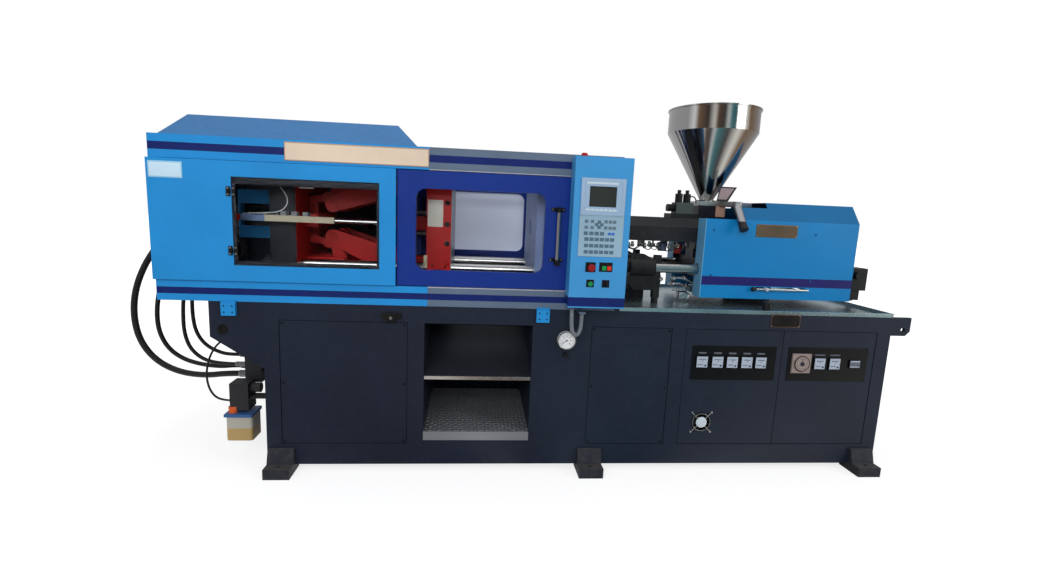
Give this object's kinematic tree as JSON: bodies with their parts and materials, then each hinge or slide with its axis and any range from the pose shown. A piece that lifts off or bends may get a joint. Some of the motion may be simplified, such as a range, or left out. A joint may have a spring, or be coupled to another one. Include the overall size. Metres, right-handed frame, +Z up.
{
  "type": "injection moulding machine",
  "caption": "Horizontal injection moulding machine: toggle clamp with platens and tie bars under a sliding-gate guard, screw unit with hopper, on a steel bed.",
  "frame": {"origin": "on the floor, in the middle of the machine's length and depth, free hoses not counted", "axes": "+X along the machine from the clamp end to the injection end, +Y away from the operator, +Z up"},
  "size_m": [4.3476, 1.231, 2.047],
  "materials": {
    "bed_paint": "satin",
    "blue_paint": "satin",
    "navy_paint": "satin",
    "grey_paint": "satin",
    "red_paint": "semi-gloss",
    "black_paint": "satin",
    "ground_steel": "ground",
    "stainless": "polished",
    "hard_chrome": "polished",
    "black_plastic": "matt",
    "panel_plastic": "satin",
    "red_plastic": "gloss",
    "green_plastic": "gloss",
    "clear_sheet": "clear",
    "hose_rubber": "matt",
    "grey_conduit": "matt",
    "beige_paint": "satin"
  },
  "bodies": {
    "bed": {"bed_frame": "bed_paint", "levelling_feet": "bed_paint", "bed_covers": "bed_paint", "drip_tray": "stainless", "guard_rails_left": "blue_paint", "guard_rails_right": "grey_paint", "roof_cover": "blue_paint", "clamp_panels": "blue_paint", "control_cabinet": "blue_paint", "keypad": "panel_plastic", "tail_platen": "black_paint", "stationary_platen": "red_paint", "tie_bars": "hard_chrome", "clamp_cylinder": "black_paint", "guide_rods": "hard_chrome", "position_rail": "beige_paint", "carriage_brackets": "black_paint", "pressure_gauge": "stainless", "hydraulic_fittings": "black_paint", "hose_a": "hose_rubber", "hose_b": "hose_rubber", "hose_c": "hose_rubber", "hose_d": "hose_rubber", "cable": "hose_rubber", "conduit": "grey_conduit"},
    "operator_gate": {"operator_gate": "navy_paint", "gate_pane": "clear_sheet"},
    "rear_gate": {"rear_gate": "navy_paint"},
    "window_door": {"window_door": "clear_sheet"},
    "meter_door_left": {"meter_door_left": "bed_paint", "meter_bank_left": "black_plastic"},
    "meter_door_right": {"meter_door_right": "bed_paint", "meter_bank_right": "black_plastic"},
    "fan_rotor": {"fan_rotor": "black_plastic"},
    "moving_platen": {"moving_platen": "red_paint"},
    "ejector": {"ejector": "ground_steel"},
    "crosshead": {"crosshead": "black_paint"},
    "rear_link_upper": {"rear_link_upper": "red_paint"},
    "rear_link_lower": {"rear_link_lower": "red_paint"},
    "front_link_upper": {"front_link_upper": "red_paint"},
    "front_link_lower": {"front_link_lower": "red_paint"},
    "crosshead_link_upper": {"crosshead_link_upper": "red_paint"},
    "crosshead_link_lower": {"crosshead_link_lower": "red_paint"},
    "carriage": {"throat_block": "black_paint", "barrel": "ground_steel", "barrel_cover": "black_paint", "injection_cover": "blue_paint", "hopper": "stainless", "hopper_base": "ground_steel", "valve_stack": "black_paint"},
    "push_plate": {"push_plate": "black_paint", "stroke_pointer": "ground_steel"},
    "screw": {"screw": "hard_chrome"},
    "slide_gate": {"slide_gate": "stainless"},
    "emergency_stop": {"emergency_stop": "red_plastic"},
    "start_button": {"start_button": "green_plastic"},
    "stop_button": {"stop_button": "red_plastic"},
    "cycle_button": {"cycle_button": "green_plastic"},
    "mode_switch": {"mode_switch": "black_plastic"},
    "gauge_knob": {"gauge_knob": "black_plastic"}
  },
  "joints": [
    {"name": "operator_gate_slide", "type": "slide", "parent": "bed", "child": "operator_gate", "axis": [-1, 0, 0], "range_m": [0, 0.56]},
    {"name": "rear_gate_slide", "type": "slide", "parent": "bed", "child": "rear_gate", "axis": [-1, 0, 0], "range_m": [0, 0.56]},
    {"name": "window_hinge", "type": "hinge", "parent": "bed", "child": "window_door", "pos_m": [-1.62, -0.519, 1.444], "axis": [0, 0, -1], "range_deg": [0, 110]},
    {"name": "left_door_hinge", "type": "hinge", "parent": "bed", "child": "meter_door_left", "pos_m": [0.713, -0.498, 0.48], "axis": [0, 0, -1], "range_deg": [0, 115]},
    {"name": "right_door_hinge", "type": "hinge", "parent": "bed", "child": "meter_door_right", "pos_m": [1.816, -0.498, 0.48], "axis": [0, 0, 1], "range_deg": [0, 115]},
    {"name": "fan_spin", "type": "hinge", "parent": "meter_door_left", "child": "fan_rotor", "pos_m": [0.841, -0.475, 0.283], "axis": [0, 1, 0], "continuous": true},
    {"name": "platen_slide", "type": "slide", "parent": "bed", "child": "moving_platen", "axis": [1, 0, 0], "range_m": [0, 0.24]},
    {"name": "ejector_slide", "type": "slide", "parent": "moving_platen", "child": "ejector", "axis": [1, 0, 0], "range_m": [0, 0.06]},
    {"name": "crosshead_slide", "type": "slide", "parent": "bed", "child": "crosshead", "axis": [1, 0, 0], "range_m": [0, 0.31295]},
    {"name": "rear_link_upper_swing", "type": "hinge", "parent": "bed", "child": "rear_link_upper", "pos_m": [-1.2, 0, 1.565], "axis": [0, -1, 0], "range_deg": [0, 102.68]},
    {"name": "front_link_upper_swing", "type": "hinge", "parent": "rear_link_upper", "child": "front_link_upper", "pos_m": [-1.2373, 0, 1.39914], "axis": [0, -1, 0], "range_deg": [-124.99, 0]},
    {"name": "crosshead_link_upper_swing", "type": "hinge", "parent": "rear_link_upper", "child": "crosshead_link_upper", "pos_m": [-1.27462, 0, 1.43829], "axis": [0, -1, 0], "range_deg": [-23.22, 0]},
    {"name": "rear_link_lower_swing", "type": "hinge", "parent": "bed", "child": "rear_link_lower", "pos_m": [-1.2, 0, 1.055], "axis": [0, 1, 0], "range_deg": [0, 102.68]},
    {"name": "front_link_lower_swing", "type": "hinge", "parent": "rear_link_lower", "child": "front_link_lower", "pos_m": [-1.2373, 0, 1.22086], "axis": [0, 1, 0], "range_deg": [-124.99, 0]},
    {"name": "crosshead_link_lower_swing", "type": "hinge", "parent": "rear_link_lower", "child": "crosshead_link_lower", "pos_m": [-1.27462, 0, 1.18171], "axis": [0, 1, 0], "range_deg": [-23.22, 0]},
    {"name": "carriage_slide", "type": "slide", "parent": "bed", "child": "carriage", "axis": [1, 0, 0], "range_m": [0, 0.15]},
    {"name": "push_plate_slide", "type": "slide", "parent": "carriage", "child": "push_plate", "axis": [1, 0, 0], "range_m": [0, 0.16]},
    {"name": "screw_spin", "type": "hinge", "parent": "push_plate", "child": "screw", "pos_m": [1.2, 0, 1.31], "axis": [1, 0, 0], "continuous": true},
    {"name": "slide_gate_slide", "type": "slide", "parent": "carriage", "child": "slide_gate", "axis": [1, 0, 0], "range_m": [0, 0.1]},
    {"name": "emergency_stop_press", "type": "slide", "parent": "bed", "child": "emergency_stop", "axis": [0, 1, 0], "range_m": [0, 0.005], "stiffness_N_per_m": 1500},
    {"name": "start_press", "type": "slide", "parent": "bed", "child": "start_button", "axis": [0, 1, 0], "range_m": [0, 0.005], "stiffness_N_per_m": 800},
    {"name": "stop_press", "type": "slide", "parent": "bed", "child": "stop_button", "axis": [0, 1, 0], "range_m": [0, 0.005], "stiffness_N_per_m": 800},
    {"name": "cycle_press", "type": "slide", "parent": "bed", "child": "cycle_button", "axis": [0, 1, 0], "range_m": [0, 0.005], "stiffness_N_per_m": 800},
    {"name": "mode_switch_turn", "type": "hinge", "parent": "bed", "child": "mode_switch", "pos_m": [0.216, -0.613, 1.06], "axis": [0, 1, 0], "range_deg": [-45, 45]},
    {"name": "gauge_knob_turn", "type": "hinge", "parent": "bed", "child": "gauge_knob", "pos_m": [0.052, -0.51, 0.659], "axis": [0, 1, 0], "range_deg": [0, 270]}
  ],
  "couplings": [
    {"joint": "crosshead_slide", "follows": "platen_slide", "ratio": 1.3039},
    {"joint": "rear_link_upper_swing", "follows": "platen_slide", "rad_per_m": 7.4668},
    {"joint": "front_link_upper_swing", "follows": "platen_slide", "rad_per_m": -9.0888},
    {"joint": "crosshead_link_upper_swing", "follows": "platen_slide", "rad_per_m": -1.688},
    {"joint": "rear_link_lower_swing", "follows": "platen_slide", "rad_per_m": 7.4668},
    {"joint": "front_link_lower_swing", "follows": "platen_slide", "rad_per_m": -9.0888},
    {"joint": "crosshead_link_lower_swing", "follows": "platen_slide", "rad_per_m": -1.688}
  ]
}
